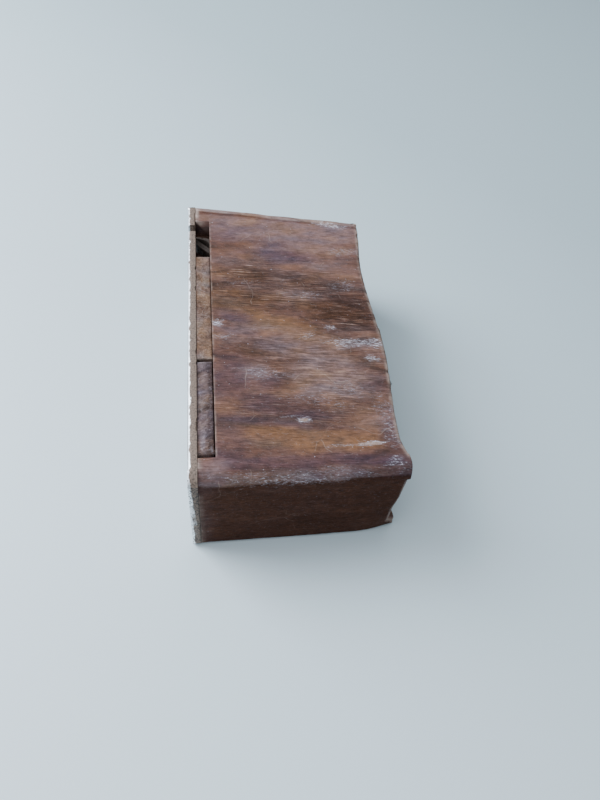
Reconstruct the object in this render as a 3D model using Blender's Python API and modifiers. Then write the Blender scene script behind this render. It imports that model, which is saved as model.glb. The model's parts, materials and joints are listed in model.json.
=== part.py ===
"""A small bull-nosed wooden hand plane with a steel sole, as a Blender model.

The plane lies on its lower cheek.  Heights above the sole run along +X, the length runs from
heel to toe along +Y, and the width rises along +Z from the lower cheek to the upper one.
"""

import math

import bmesh
import bpy
from mathutils import Matrix, Vector

MM = 0.001
GAP = 0.3                # clearance between pieces that touch on the real plane

# Stock: lengths from the upper end of the heel (y), heights above the sole (s), widths from the
# lower cheek (z)
LENGTH = 154.4           # where the toe meets the sole
HEEL = -1.7              # where the heel meets the sole, at the lower cheek
WIDTH = 49.0
REACH = 86.0             # height of the topmost point, the upper end of the iron and the wedge
PLATE = 3.2              # thickness of the steel sole plate
STOCK_SOLE = PLATE + GAP
TOE_TOP = 143.2          # the toe leans back from LENGTH at the sole to this at the top
HEEL_TOP = 1.5           # the heel leans forward by this much at the top
GRIP = [(4.5, 82.0), (17.0, 79.4), (60.0, 81.6), (105.0, 79.5), (141.0, 82.2)]
HEEL_CORNER = 2.4        # plan radius where the heel meets the top
TOE_CORNER = 3.0
FOOT = {"high": 6.5, "out": 2.6, "fade": 75.0}   # unworn ridge of the top along the lower cheek
HEEL_ROUND = 7.5         # rounding of the upper cheek over the heel
TOE_ROUND = 3.0
ARRIS = 1.1

# Bed, iron and mouth
BED_ANGLE = math.radians(45.0)
BED_FOOT = 134.0         # where the underside of the iron meets the sole
CHEEK = 4.5              # thickness of the stock beside the throat
IRON_THICK = 2.6
IRON_SIDE = 0.35         # play between iron and cheek
GRIND = math.radians(30.0)
EDGE_LIFT = 0.2          # the edge rests this far inside the sole
MOUTH = (130.2, 138.8)   # ends of the mouth slot in the sole plate
OPEN_MOUTH = 134.2       # the slot is shorter where it runs out of the upper edge
WEAR = 139.8             # front of the mouth in the wood
WEAR_HEIGHT = 20.0
THROAT_FRONT = 105.0     # front of the throat at the top

# Stopped channel in the upper cheek, with its wear slips
CHANNEL = (10.4, 141.7)
CHANNEL_HEIGHT = 10.0
CHANNEL_DEPTH = 9.0
FRONT_SLIP = (56.1, 117.3)
REAR_SLIP = (12.4, 55.5)

# Cap iron, nut and screw, measured along the bed (u) and off it (v)
CAP_THICK = 2.0
CAP_LIFT = IRON_THICK + GAP
CAP_TOP = 92.0
CAP_SET = 2.0            # the cap iron ends this far behind the edge
HUMP = 2.6
HUMP_LENGTH = 18.0
NUT_AT = 50.0
NUT_RADIUS = 6.4
NUT_HEIGHT = 3.0
NECK_RADIUS = 4.8
SHANK_RADIUS = 2.9
HEAD_RADIUS = 6.4
HEAD_HEIGHT = 2.3
IRON_SLOT = (30.0, 66.0)
SLOT_WIDTH = 8.0
KEYHOLE = 7.2            # radius of the round end that the screw head drops through

# Wedge and abutments
WEDGE_FACE = CAP_LIFT + CAP_THICK + GAP
WEDGE_FOOT = 30.0
WEDGE_ROOT = 2.6         # thickness at the foot
WEDGE_REACH = 83.2       # height of its top
WEDGE_TAPER = math.radians(8.0)
WEDGE_SIDE = 0.7
FORK = (15.0, 64.0)      # width of the fork that straddles the nut, and where it ends
ABUTMENT_FOOT = 36.0
ABUTMENT_DEEP = 6.5
ABUTMENT_WIDE = 4.6

# Fasteners and button
SCREW_ROWS = (13.0, 58.0, 102.0, 145.4)
SCREW_LINES = (10.0, 33.0)
SCREW = {"head": 3.3, "shank": 1.6, "cone": 1.9, "length": 12.0}
PINS = (24.0, 43.0, 66.0, 88.0, 110.0)
PIN = {"radius": 0.8, "low": 3.8, "high": 15.6}
BUTTON = {"at": 121.0, "radius": 7.0, "depth": 9.0, "proud": 1.6, "crown": 1.2}

CENTRE = Vector((REACH / 2, (LENGTH + HEEL) / 2, 0.0)) * MM


# ---------------------------------------------------------------- helpers

def collection(name):
    made = bpy.data.collections.new(name)
    bpy.context.scene.collection.children.link(made)
    return made


def material(name, colour, roughness, metallic):
    made = bpy.data.materials.new(name)
    made.use_nodes = True
    shader = made.node_tree.nodes["Principled BSDF"]
    shader.inputs["Base Color"].default_value = (*colour, 1.0)
    shader.inputs["Roughness"].default_value = roughness
    shader.inputs["Metallic"].default_value = metallic
    made.diffuse_color = (*colour, 1.0)
    return made


def plane_frame():
    """Axes: height above the sole, length from the heel, width from the lower cheek."""
    return Matrix.Translation(-CENTRE)


def bed_frame():
    """Axes: along the bed (u), off the bed (v), width; from the foot of the bed."""
    turn = Matrix.Rotation(BED_ANGLE - math.pi / 2, 4, "Z")
    return plane_frame() @ Matrix.Translation((0.0, BED_FOOT * MM, 0.0)) @ turn


def sole_frame():
    """Axes: length, width, height above the sole."""
    return plane_frame() @ Matrix.Rotation(math.radians(120.0), 4, (1, 1, 1))


def flat_frame():
    """Axes: along the bed, width, and down into the bed."""
    return bed_frame() @ Matrix.Rotation(math.pi / 2, 4, "X")


def stand(u, v):
    """Frame at mid-width on the bed, whose third axis points off the bed."""
    place = Matrix.Translation((u * MM, v * MM, WIDTH / 2 * MM))
    return bed_frame() @ place @ Matrix.Rotation(-math.pi / 2, 4, "X")


def aim(point, direction):
    """Frame at a point of the plane, in mm, whose third axis points along the direction."""
    turn = Vector(direction).to_track_quat("Z", "Y").to_matrix().to_4x4()
    return plane_frame() @ Matrix.Translation(Vector(point) * MM) @ turn


def bed_sum(height):
    """u + v for a point of the bed frame at this height above the sole, at a bed of 45 degrees."""
    return height / math.sin(BED_ANGLE)


def link(obj, home, finish=None):
    for old in obj.users_collection:
        old.objects.unlink(obj)
    home.objects.link(obj)
    if finish:
        obj.data.materials.clear()
        obj.data.materials.append(finish)
    if home == cutters:
        obj.hide_render = True
        obj.display_type = "WIRE"
    return obj


def as_mesh(obj):
    """A welded mesh object in the place of a curve or of an edge with its Screw modifier."""
    bpy.context.view_layer.update()
    graph = bpy.context.evaluated_depsgraph_get()
    mesh = bpy.data.meshes.new_from_object(obj.evaluated_get(graph))
    shape = bmesh.new()
    shape.from_mesh(mesh)
    bmesh.ops.remove_doubles(shape, verts=shape.verts, dist=1e-6)
    bmesh.ops.recalc_face_normals(shape, faces=shape.faces)
    shape.to_mesh(mesh)
    shape.free()
    made = bpy.data.objects.new(obj.name, mesh)
    bpy.context.scene.collection.objects.link(made)
    made.matrix_world = obj.matrix_world
    name = obj.name
    bpy.data.objects.remove(obj)
    made.name = name
    return made


def prism(name, outline, low, high, frame, home, finish=None):
    """A flat outline in the frame's first two axes, thick from low to high along the third."""
    curve = bpy.data.curves.new(name, "CURVE")
    curve.dimensions = "2D"
    curve.fill_mode = "BOTH"
    curve.extrude = (high - low) / 2 * MM
    line = curve.splines.new("POLY")
    line.points.add(len(outline) - 1)
    for point, (a, b) in zip(line.points, outline):
        point.co = (a * MM, b * MM, 0.0, 1.0)
    line.use_cyclic_u = True
    obj = bpy.data.objects.new(name, curve)
    bpy.context.scene.collection.objects.link(obj)
    obj.matrix_world = frame @ Matrix.Translation((0.0, 0.0, (low + high) / 2 * MM))
    return link(as_mesh(obj), home, finish)


def turned(name, profile, frame, home, finish=None, steps=28):
    """A profile of (radius, distance) points turned about the frame's third axis."""
    mesh = bpy.data.meshes.new(name)
    points = [(radius * MM, 0.0, distance * MM) for radius, distance in profile]
    mesh.from_pydata(points, [(i, i + 1) for i in range(len(points) - 1)], [])
    obj = bpy.data.objects.new(name, mesh)
    bpy.context.scene.collection.objects.link(obj)
    screw = obj.modifiers.new("turn", "SCREW")
    screw.axis = "Z"
    screw.steps = steps
    screw.render_steps = steps
    screw.use_merge_vertices = True
    screw.merge_threshold = 1e-6
    obj.matrix_world = frame
    return link(as_mesh(obj), home, finish)


def rod(name, frame, radius, low, high, steps=24):
    """A plain cylinder along the frame's third axis, as a cutter."""
    profile = [(0.0, high), (radius, high), (radius, low), (0.0, low)]
    return turned(name, profile, frame, cutters, steps=steps)


def cut(obj, cutter, operation="DIFFERENCE"):
    """Applies one Boolean at once, so that the next cut starts from a plain mesh."""
    step = obj.modifiers.new("cut", "BOOLEAN")
    step.operation = operation
    step.solver = "EXACT"
    step.object = cutter
    apply_modifiers(obj)


def apply_modifiers(obj):
    bpy.context.view_layer.update()
    graph = bpy.context.evaluated_depsgraph_get()
    mesh = bpy.data.meshes.new_from_object(obj.evaluated_get(graph))
    obj.modifiers.clear()
    old = obj.data
    obj.data = mesh
    bpy.data.meshes.remove(old)


def soften(obj, width, segments=2, limit=40.0):
    bevel = obj.modifiers.new("arris", "BEVEL")
    bevel.width = width * MM
    bevel.segments = segments
    bevel.limit_method = "ANGLE"
    bevel.angle_limit = math.radians(limit)
    apply_modifiers(obj)


def smooth(obj, angle=35.0):
    obj.data.shade_smooth()
    obj.data.set_sharp_from_angle(angle=math.radians(angle))


def arc(centre, radius, start, end, steps=6):
    """Points of an arc, angles in degrees."""
    points = []
    for i in range(steps + 1):
        angle = math.radians(start + (end - start) * i / steps)
        points.append((centre[0] + radius * math.cos(angle), centre[1] + radius * math.sin(angle)))
    return points


# ---------------------------------------------------------------- outlines

def grip_height(y):
    """Height of the hand-worn top: smooth swells and hollows through the GRIP stations."""
    if y <= GRIP[0][0]:
        return GRIP[0][1]
    for (y0, s0), (y1, s1) in zip(GRIP, GRIP[1:]):
        if y <= y1:
            share = (1 - math.cos(math.pi * (y - y0) / (y1 - y0))) / 2
            return s0 + (s1 - s0) * share
    return GRIP[-1][1]


def stock_outline():
    """Side view of the stock: sole, raked toe, waved top and heel, as (height, length) points."""
    toe_slope = (LENGTH - TOE_TOP) / GRIP[-1][1]
    toe_y = LENGTH - toe_slope * grip_height(TOE_TOP)
    points = [(STOCK_SOLE, HEEL), (STOCK_SOLE, LENGTH)]
    corner = (GRIP[-1][1] - TOE_CORNER, toe_y - TOE_CORNER * (1 - toe_slope))
    points += arc(corner, TOE_CORNER, 82.0, 0.0, 5)
    heel = (grip_height(0.0) - HEEL_CORNER, HEEL + HEEL_TOP + HEEL_CORNER)
    steps = 36
    first, last = corner[1] - 3.0, heel[1] + 1.0
    for i in range(steps + 1):
        y = first + (last - first) * i / steps
        points.append((grip_height(y), y))
    points += arc(heel, HEEL_CORNER, 0.0, -88.0, 6)
    return points


def top_rake(offset):
    """u of the top end of a piece that stands this far off the bed."""
    return bed_sum(REACH) - offset


# ---------------------------------------------------------------- cutters

def round_over(name, foot, lean, radius, side, slant=0.0):
    """Cutter that rounds the upper cheek over the heel (side -1) or the toe (side +1).

    foot is where that end meets the sole, lean how far it leans back at the top, slant how far it
    leans back from the lower cheek to the upper one."""
    centre = (-side * (radius + slant), WIDTH - radius)
    spare = 4.0
    low = -1.0 if slant else centre[1] - spare
    outline = arc(centre, radius, 90.0, 90.0 - side * 90.0, 8)
    outline += [
        (-side * slant * low / centre[1], low), (side * spare, low),
        (side * spare, WIDTH + spare), (centre[0], WIDTH + spare),
    ]
    turn = Matrix.Rotation(math.atan2(lean, GRIP[-1][1]), 4, "Z")
    cycle = Matrix.Rotation(math.radians(120.0), 4, (1, 1, 1))
    frame = plane_frame() @ Matrix.Translation((0.0, foot * MM, 0.0)) @ turn @ cycle
    return prism(name, outline, -8.0, REACH + 8.0, frame, cutters)


def throat_cutter():
    """Room for iron, cap iron, wedge and shavings, less the two abutments."""
    top = REACH + 6.0
    low = STOCK_SOLE - 2.0
    bed = BED_FOOT - GAP / math.sin(BED_ANGLE)
    slope = math.tan(BED_ANGLE)
    outline = [
        (low, bed - low / slope), (top, bed - top / slope), (top, THROAT_FRONT),
        (WEAR_HEIGHT, WEAR - 2.6), (low, WEAR),
    ]
    throat = prism("throat", outline, CHEEK, WIDTH - CHEEK, plane_frame(), cutters)
    low_side = (CHEEK - 2.0, CHEEK + ABUTMENT_WIDE)
    high_side = (WIDTH - CHEEK - ABUTMENT_WIDE, WIDTH - CHEEK + 2.0)
    for side in (low_side, high_side):
        cut(throat, prism("abutment", abutment_outline(), *side, bed_frame(), cutters))
    return throat


def abutment_outline():
    """Ridge on a cheek that the wedge bears against, in the bed frame."""
    foot, end = ABUTMENT_FOOT, 150.0
    return [
        (foot, wedge_back(foot) + GAP), (end, wedge_back(end) + GAP),
        (end, wedge_back(end) + GAP + ABUTMENT_DEEP),
        (foot + 9.0, wedge_back(foot + 9.0) + GAP + ABUTMENT_DEEP),
        (foot, wedge_back(foot) + GAP + 1.5),
    ]


def channel_cutter():
    outline = [
        (-2.0, CHANNEL[0]), (CHANNEL_HEIGHT, CHANNEL[0]),
        (CHANNEL_HEIGHT, CHANNEL[1]), (-2.0, CHANNEL[1]),
    ]
    return prism("channel", outline, WIDTH - CHANNEL_DEPTH, WIDTH + 3.0, plane_frame(), cutters)


def head_groove():
    """Groove down the bed that clears the head of the cap screw."""
    half = HEAD_RADIUS + 1.0
    foot, floor = IRON_SLOT[0] - 4.0, HEAD_HEIGHT + 3 * GAP
    outline = [(foot, -floor), (140.0, -floor), (140.0, 2.0), (foot, 2.0)]
    return prism("groove", outline, WIDTH / 2 - half, WIDTH / 2 + half, bed_frame(), cutters)


def slot_cutter(name, ends, width, thick):
    """A round-ended slot along the bed, cut through a piece of this thickness on the bed."""
    radius = width / 2
    outline = arc((ends[0] + radius, WIDTH / 2), radius, 270.0, 90.0, 8)
    outline += arc((ends[1] - radius, WIDTH / 2), radius, 90.0, -90.0, 8)
    return prism(name, outline, -thick - 2.0, 2.0, flat_frame(), cutters)


def corner_clip(side):
    """Cutter for one clipped corner at the top of the iron."""
    clip = 11.0
    top = top_rake(IRON_THICK) + 1.0
    edge = WIDTH / 2 + side * (WIDTH / 2 - CHEEK - IRON_SIDE + 1.0)
    outline = [(top, edge), (top - clip, edge), (top, edge - side * clip)]
    return prism("corner_clip", outline, -IRON_THICK - 2.0, 2.0, flat_frame(), cutters)


# ---------------------------------------------------------------- pieces

def unworn_ridge():
    """The top as it was, left along the lower cheek and fading towards the toe."""
    steps = 30
    outer = []
    for i in range(steps + 1):
        y = 1.4 + 131.0 * i / steps
        fade = math.exp(-((y - 1.4) / FOOT["fade"]) ** 2)
        outer.append((grip_height(y) + FOOT["out"] * fade - 0.4 * (1 - fade), y))
    outline = [(60.0, 1.4)] + outer + [(60.0, 134.0)]
    ridge = prism("unworn_ridge", outline, 0.4, FOOT["high"], plane_frame(), cutters)
    soften(ridge, 1.6, 3)
    return ridge


def make_stock(finish):
    stock = prism("stock", stock_outline(), 0.0, WIDTH, plane_frame(), parts, finish)
    soften(stock, ARRIS)
    cut(stock, unworn_ridge(), "UNION")
    cut(stock, round_over("heel_round", HEEL, HEEL_TOP, HEEL_ROUND, -1, -HEEL))
    cut(stock, round_over("toe_round", LENGTH, TOE_TOP - LENGTH, TOE_ROUND, 1))
    cut(stock, throat_cutter())
    cut(stock, channel_cutter())
    cut(stock, head_groove())
    for y in SCREW_ROWS:
        for z in SCREW_LINES:
            pilot = aim((0.0, y, z), (1, 0, 0))
            cut(stock, rod("pilot", pilot, SCREW["shank"] + GAP, 0.0, SCREW["length"] + 0.6, 12))
    for y in PINS:
        cut(stock, rod("pin_hole", pin_frame(y), PIN["radius"] + GAP, 0.0, PIN["high"] + 0.6, 10))
    high = grip_height(BUTTON["at"])
    socket = aim((high - BUTTON["depth"], BUTTON["at"], WIDTH / 2), (1, 0, 0))
    cut(stock, rod("socket", socket, BUTTON["radius"] + GAP, 0.0, BUTTON["depth"] + 8.0, 32))
    smooth(stock)
    return stock


def make_sole_plate(finish):
    nip = 0.9
    outline = [(HEEL, nip), (HEEL + nip, 0.0), (LENGTH - nip, 0.0), (LENGTH, nip)]
    outline += [(LENGTH, WIDTH - nip), (LENGTH - nip, WIDTH), (nip, WIDTH), (0.0, WIDTH - nip)]
    plate = prism("sole_plate", outline, 0.0, PLATE, sole_frame(), parts, finish)
    inner, step = CHEEK - 0.5, WIDTH - CHEEK + 0.5
    mouth = [
        (MOUTH[0], inner), (MOUTH[1], inner), (MOUTH[1], WIDTH + 2.0),
        (OPEN_MOUTH, WIDTH + 2.0), (OPEN_MOUTH, step), (MOUTH[0], step),
    ]
    cut(plate, prism("mouth", mouth, -2.0, PLATE + 2.0, sole_frame(), cutters))
    for y in SCREW_ROWS:
        for z in SCREW_LINES:
            cut(plate, countersink(y, z))
    smooth(plate)
    return plate


def countersink(y, z):
    """A cutter that follows a sole screw with clearance and runs out past its head."""
    head, shank, cone = SCREW["head"] + GAP, SCREW["shank"] + GAP, SCREW["cone"] + GAP
    profile = [(0.0, 6.0), (shank, 6.0), (shank, cone), (head, 0.05), (head, -3.0), (0.0, -3.0)]
    return turned("countersink", profile, aim((0.0, y, z), (1, 0, 0)), cutters, steps=20)


def make_sole_screw(number, y, z, finish):
    """Countersunk wood screw with a single slot, its head just inside the sole."""
    head, shank, long = SCREW["head"], SCREW["shank"], SCREW["length"]
    profile = [
        (0.0, long), (shank * 0.55, long - 1.2), (shank, long - 3.0), (shank, SCREW["cone"]),
        (head, 0.3), (head, 0.15), (0.0, 0.15),
    ]
    frame = aim((0.0, y, z), (1, 0, 0))
    screw = turned("sole_screw_%d" % number, profile, frame, parts, finish, steps=16)
    slot = [(-head - 1, -0.4), (head + 1, -0.4), (head + 1, 0.4), (-head - 1, 0.4)]
    turn = Matrix.Rotation(math.radians(37.0 * number), 4, "Z")
    cut(screw, prism("driver_slot", slot, -1.0, 0.75, frame @ turn, cutters))
    smooth(screw)
    return screw


def make_slip(name, ends, high, sunk, slant, finish):
    """A wear slip: its ends along the length, its height off the sole, sunk below the cheek."""
    outline = [
        (STOCK_SOLE, ends[0]), (high, ends[0] + slant), (high, ends[1]),
        (STOCK_SOLE, ends[1] - slant),
    ]
    low = WIDTH - CHANNEL_DEPTH + GAP
    slip = prism(name, outline, low, WIDTH - sunk, plane_frame(), parts, finish)
    soften(slip, 0.35, 1)
    for y in PINS:
        if ends[0] < y < ends[1]:
            cut(slip, rod("pin_hole", pin_frame(y), PIN["radius"] + GAP, 0.0, 20.0, 10))
    smooth(slip)
    return slip


def pin_frame(y):
    """Frame of a slip pin: from the sole into the shoulder of the channel, at mid-slip."""
    return aim((0.0, y, WIDTH - CHANNEL_DEPTH / 2 - 0.3), (1, 0, 0))


def make_slip_pin(number, y, finish):
    radius, low, high = PIN["radius"], PIN["low"], PIN["high"]
    profile = [(0.0, high), (radius, high - 1.6), (radius, low), (0.0, low)]
    pin = turned("slip_pin_%d" % number, profile, pin_frame(y), parts, finish, steps=10)
    smooth(pin)
    return pin


def make_iron(finish):
    """Cutting iron: a flat plate ground at the foot, slotted for the screw, clipped at the top."""
    edge = bed_sum(EDGE_LIFT) - IRON_THICK
    heel = edge + IRON_THICK / math.tan(GRIND)
    top = top_rake(IRON_THICK)
    outline = [(edge, IRON_THICK), (heel, 0.0), (top - 1.0, 0.0), (top, 1.0), (top, IRON_THICK)]
    low, high = CHEEK + IRON_SIDE, WIDTH - CHEEK - IRON_SIDE
    iron = prism("iron", outline, low, high, bed_frame(), parts, finish)
    for side in (-1, 1):
        cut(iron, corner_clip(side))
    cut(iron, slot_cutter("iron_slot", IRON_SLOT, SLOT_WIDTH, IRON_THICK))
    cut(iron, rod("keyhole", stand(IRON_SLOT[1], 0.0), KEYHOLE, -2.0, IRON_THICK + 2.0))
    smooth(iron)
    return iron


def cap_profile():
    """Side view of the cap iron: a thin plate whose foot curls up and comes down on the iron."""
    tip = bed_sum(EDGE_LIFT) - IRON_THICK + CAP_SET
    steps = 14
    under, over = [], []
    for i in range(steps + 1):
        share = i / steps
        rise = HUMP * math.sin(math.pi * share ** 0.75) ** 2
        thick = CAP_THICK * min(1.0, 0.25 + 2.2 * share)
        u = tip + HUMP_LENGTH * share
        under.append((u, CAP_LIFT + rise))
        over.append((u, CAP_LIFT + rise + thick))
    return under + [(CAP_TOP, CAP_LIFT), (CAP_TOP, CAP_LIFT + CAP_THICK)] + over[::-1]


def make_cap_iron(finish):
    side = CHEEK + IRON_SIDE + 0.4
    cap = prism("cap_iron", cap_profile(), side, WIDTH - side, bed_frame(), parts, finish)
    cut(cap, rod("cap_hole", stand(NUT_AT, 0.0), NECK_RADIUS + GAP, 0.0, 12.0))
    smooth(cap)
    return cap


def make_cap_nut(finish):
    """Brass nut: a neck in the cap iron and a round boss in front of it, bored for the screw."""
    low, face = CAP_LIFT + 0.1, CAP_LIFT + CAP_THICK + GAP
    top, bore = face + NUT_HEIGHT, SHANK_RADIUS + GAP
    profile = [
        (bore, top), (NUT_RADIUS - 0.5, top), (NUT_RADIUS, top - 0.5), (NUT_RADIUS, face),
        (NECK_RADIUS, face), (NECK_RADIUS, low), (bore, low), (bore, top),
    ]
    nut = turned("cap_nut", profile, stand(NUT_AT, 0.0), parts, finish)
    smooth(nut)
    return nut


def make_cap_screw(finish):
    top = CAP_LIFT + CAP_THICK + GAP + NUT_HEIGHT - 0.2
    low = -GAP - HEAD_HEIGHT
    profile = [
        (0.0, top), (SHANK_RADIUS - 0.6, top), (SHANK_RADIUS, top - 0.6), (SHANK_RADIUS, -GAP),
        (HEAD_RADIUS, -GAP), (HEAD_RADIUS, low + 0.6), (HEAD_RADIUS - 0.6, low), (0.0, low),
    ]
    screw = turned("cap_screw", profile, stand(NUT_AT, 0.0), parts, finish)
    wide = HEAD_RADIUS + 1
    slot = [(-wide, -0.7), (wide, -0.7), (wide, 0.7), (-wide, 0.7)]
    cut(screw, prism("screw_slot", slot, low - 1.0, low + 1.1, stand(NUT_AT, 0.0), cutters))
    smooth(screw)
    return screw


def wedge_back(u):
    """How far off the bed the wedge's bearing face is, at u."""
    return WEDGE_FACE + WEDGE_ROOT + (u - WEDGE_FOOT) * math.tan(WEDGE_TAPER)


def make_wedge(finish):
    """Wedge: flat on the cap iron, tapered against the abutments, forked round the nut."""
    reach = bed_sum(WEDGE_REACH)
    start, slope = wedge_back(0.0), math.tan(WEDGE_TAPER)
    top = (reach - start) / (1 + slope)
    outline = [
        (WEDGE_FOOT, WEDGE_FACE), (reach - WEDGE_FACE, WEDGE_FACE), (top, wedge_back(top)),
        (WEDGE_FOOT + 7.0, wedge_back(WEDGE_FOOT + 7.0)), (WEDGE_FOOT, WEDGE_FACE + 0.9),
    ]
    side = CHEEK + WEDGE_SIDE
    wedge = prism("wedge", outline, side, WIDTH - side, bed_frame(), parts, finish)
    soften(wedge, 0.4, 1)
    cut(wedge, slot_cutter("fork", (WEDGE_FOOT - 20.0, FORK[1]), FORK[0], 30.0))
    smooth(wedge)
    return wedge


def make_button(finish):
    """Hardwood striking button let into the top ahead of the throat, with a low crown."""
    base = grip_height(BUTTON["at"]) - BUTTON["depth"] + GAP
    rim = BUTTON["depth"] - GAP + BUTTON["proud"]
    radius = BUTTON["radius"]
    crown = []
    for step in range(7):
        angle = math.radians(15.0 * step)
        crown.append((radius * math.sin(angle), rim - BUTTON["crown"] * (1 - math.cos(angle))))
    profile = crown + [(radius, 0.6), (radius - 0.6, 0.0), (0.0, 0.0)]
    frame = aim((base, BUTTON["at"], WIDTH / 2), (1, 0, 0))
    button = turned("strike_button", profile, frame, parts, finish, steps=32)
    smooth(button)
    return button


for old in list(bpy.data.objects):
    bpy.data.objects.remove(old)
parts = collection("hand_plane")
cutters = collection("cutters")

rosewood = material("rosewood", (0.17, 0.075, 0.045), 0.45, 0.0)
boxwood = material("boxwood", (0.30, 0.20, 0.13), 0.6, 0.0)
beech = material("beech", (0.42, 0.26, 0.14), 0.55, 0.0)
sole_steel = material("sole_steel", (0.62, 0.63, 0.64), 0.35, 1.0)
tool_steel = material("tool_steel", (0.32, 0.32, 0.33), 0.4, 1.0)
screw_steel = material("screw_steel", (0.30, 0.29, 0.28), 0.45, 1.0)
brass = material("brass", (0.60, 0.45, 0.20), 0.4, 1.0)

make_stock(rosewood)
make_sole_plate(sole_steel)
for row, screw_y in enumerate(SCREW_ROWS):
    for line, screw_z in enumerate(SCREW_LINES):
        make_sole_screw(2 * row + line + 1, screw_y, screw_z, screw_steel)
make_slip("rear_slip", REAR_SLIP, CHANNEL_HEIGHT - 1.0, 1.3, 0.5, boxwood)
make_slip("front_slip", FRONT_SLIP, CHANNEL_HEIGHT - GAP, 0.7, 0.8, boxwood)
for index, pin_y in enumerate(PINS):
    make_slip_pin(index + 1, pin_y, brass)
make_iron(tool_steel)
make_cap_iron(tool_steel)
make_cap_nut(brass)
make_cap_screw(screw_steel)
make_wedge(beech)
make_button(boxwood)
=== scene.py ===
import json
import math

import bmesh
import bpy
from mathutils import Matrix, Vector, noise


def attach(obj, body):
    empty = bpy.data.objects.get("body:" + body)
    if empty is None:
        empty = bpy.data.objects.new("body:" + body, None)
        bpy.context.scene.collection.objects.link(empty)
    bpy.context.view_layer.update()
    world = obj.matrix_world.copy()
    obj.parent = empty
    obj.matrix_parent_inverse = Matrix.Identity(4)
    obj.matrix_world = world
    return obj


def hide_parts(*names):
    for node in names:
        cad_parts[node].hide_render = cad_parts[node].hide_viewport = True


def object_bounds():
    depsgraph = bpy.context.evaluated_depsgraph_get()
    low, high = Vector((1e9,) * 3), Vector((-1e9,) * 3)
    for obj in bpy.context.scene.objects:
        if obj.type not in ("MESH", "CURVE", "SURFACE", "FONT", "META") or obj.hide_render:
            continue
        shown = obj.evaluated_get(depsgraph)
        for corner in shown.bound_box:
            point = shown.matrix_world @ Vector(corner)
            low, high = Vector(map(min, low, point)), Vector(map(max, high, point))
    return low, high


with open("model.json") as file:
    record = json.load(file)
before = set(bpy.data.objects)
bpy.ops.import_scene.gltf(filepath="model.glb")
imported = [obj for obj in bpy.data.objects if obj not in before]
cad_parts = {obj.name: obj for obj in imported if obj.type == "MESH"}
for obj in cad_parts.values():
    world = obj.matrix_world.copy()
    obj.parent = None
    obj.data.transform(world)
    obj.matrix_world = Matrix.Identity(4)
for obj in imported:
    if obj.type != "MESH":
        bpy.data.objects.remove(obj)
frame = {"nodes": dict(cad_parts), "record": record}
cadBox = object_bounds()
print("frame loaded")

mm = 0.001
soleX = cadBox[0][0]                 # the sole's face, from which heights are counted
heelY = cadBox[0][1] + 1.7 * mm      # the heel's upper end, from which lengths are counted


def place(height, length, width):
    # height above the sole, length from the heel, width from the lower cheek, in mm
    return Vector((soleX + height * mm, heelY + length * mm, width * mm))


def toLinear(hexColour):
    # sRGB hex to the linear colour that shaders take
    parts = [int(hexColour[i:i + 2], 16) / 255 for i in (1, 3, 5)]
    return tuple(p / 12.92 if p <= 0.04045 else ((p + 0.055) / 1.055) ** 2.4 for p in parts) + (1.0,)


def add(tree, kind, sockets=None, take=None, **settings):
    # one node: settings by name, sockets by name or number, each a value or another node's output;
    # gives back the node, or its output called or numbered "take"
    node = tree.nodes.new("ShaderNode" + kind)
    stops = settings.pop("stops", ())
    for name, value in settings.items():
        setattr(node, name, value)
    for name, value in (sockets or {}).items():
        if isinstance(value, bpy.types.NodeSocket):
            tree.links.new(value, node.inputs[name])
        else:
            node.inputs[name].default_value = value
    if stops:
        elements = node.color_ramp.elements
        while len(elements) < len(stops):
            elements.new(0.5)
        for element, (position, colour) in zip(elements, stops):
            element.position = position
            element.color = toLinear(colour)
    return node if take is None else node.outputs[take]


def lay(tree, under, over, factor, much=1.0):
    # lays one colour over another, where and as much as the factor says
    share = add(tree, "Math", {0: factor, 1: much}, 0, operation="MULTIPLY")
    return add(tree, "Mix", {"Factor": share, "A": under, "B": over}, "Result", data_type="RGBA")


def startMaterial(name):
    made = bpy.data.materials.new(name)
    made.use_nodes = True
    tree = made.node_tree
    return made, tree, tree.nodes["Principled BSDF"]


def smoothStep(low, high, value):
    t = min(max((value - low) / (high - low), 0.0), 1.0)
    return t * t * (3 - 2 * t)


camera = {
    "place": (9.8, -103.1, 239.7),
    "right": (0.9899, -0.1036, 0.0967),
    "up": (0.0272, 0.8085, 0.5878),
    "lens": 27.68,
}


def makeCamera():
    right = Vector(camera["right"]).normalized()
    back = right.cross(Vector(camera["up"])).normalized()
    up = back.cross(right)
    data = bpy.data.cameras.new("camera")
    data.lens = camera["lens"]
    data.clip_start = 0.01
    made = bpy.data.objects.new("camera", data)
    turn = Matrix((right, up, back)).transposed().to_4x4()
    made.matrix_world = Matrix.Translation(place(*camera["place"])) @ turn
    bpy.context.scene.collection.objects.link(made)
    bpy.context.scene.camera = made


floorLook = {
    "near": "#ecf7fb", "far": "#bccdd2", "shade": 0.06, "mottleMm": 60.0, "roughness": 0.5, "side": 3.0,
    "fade": (1.4, 1.4, 0.0), "halfWay": 0.5,     # painted light falloff from near to far, per metre, and its level at the part
}


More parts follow.
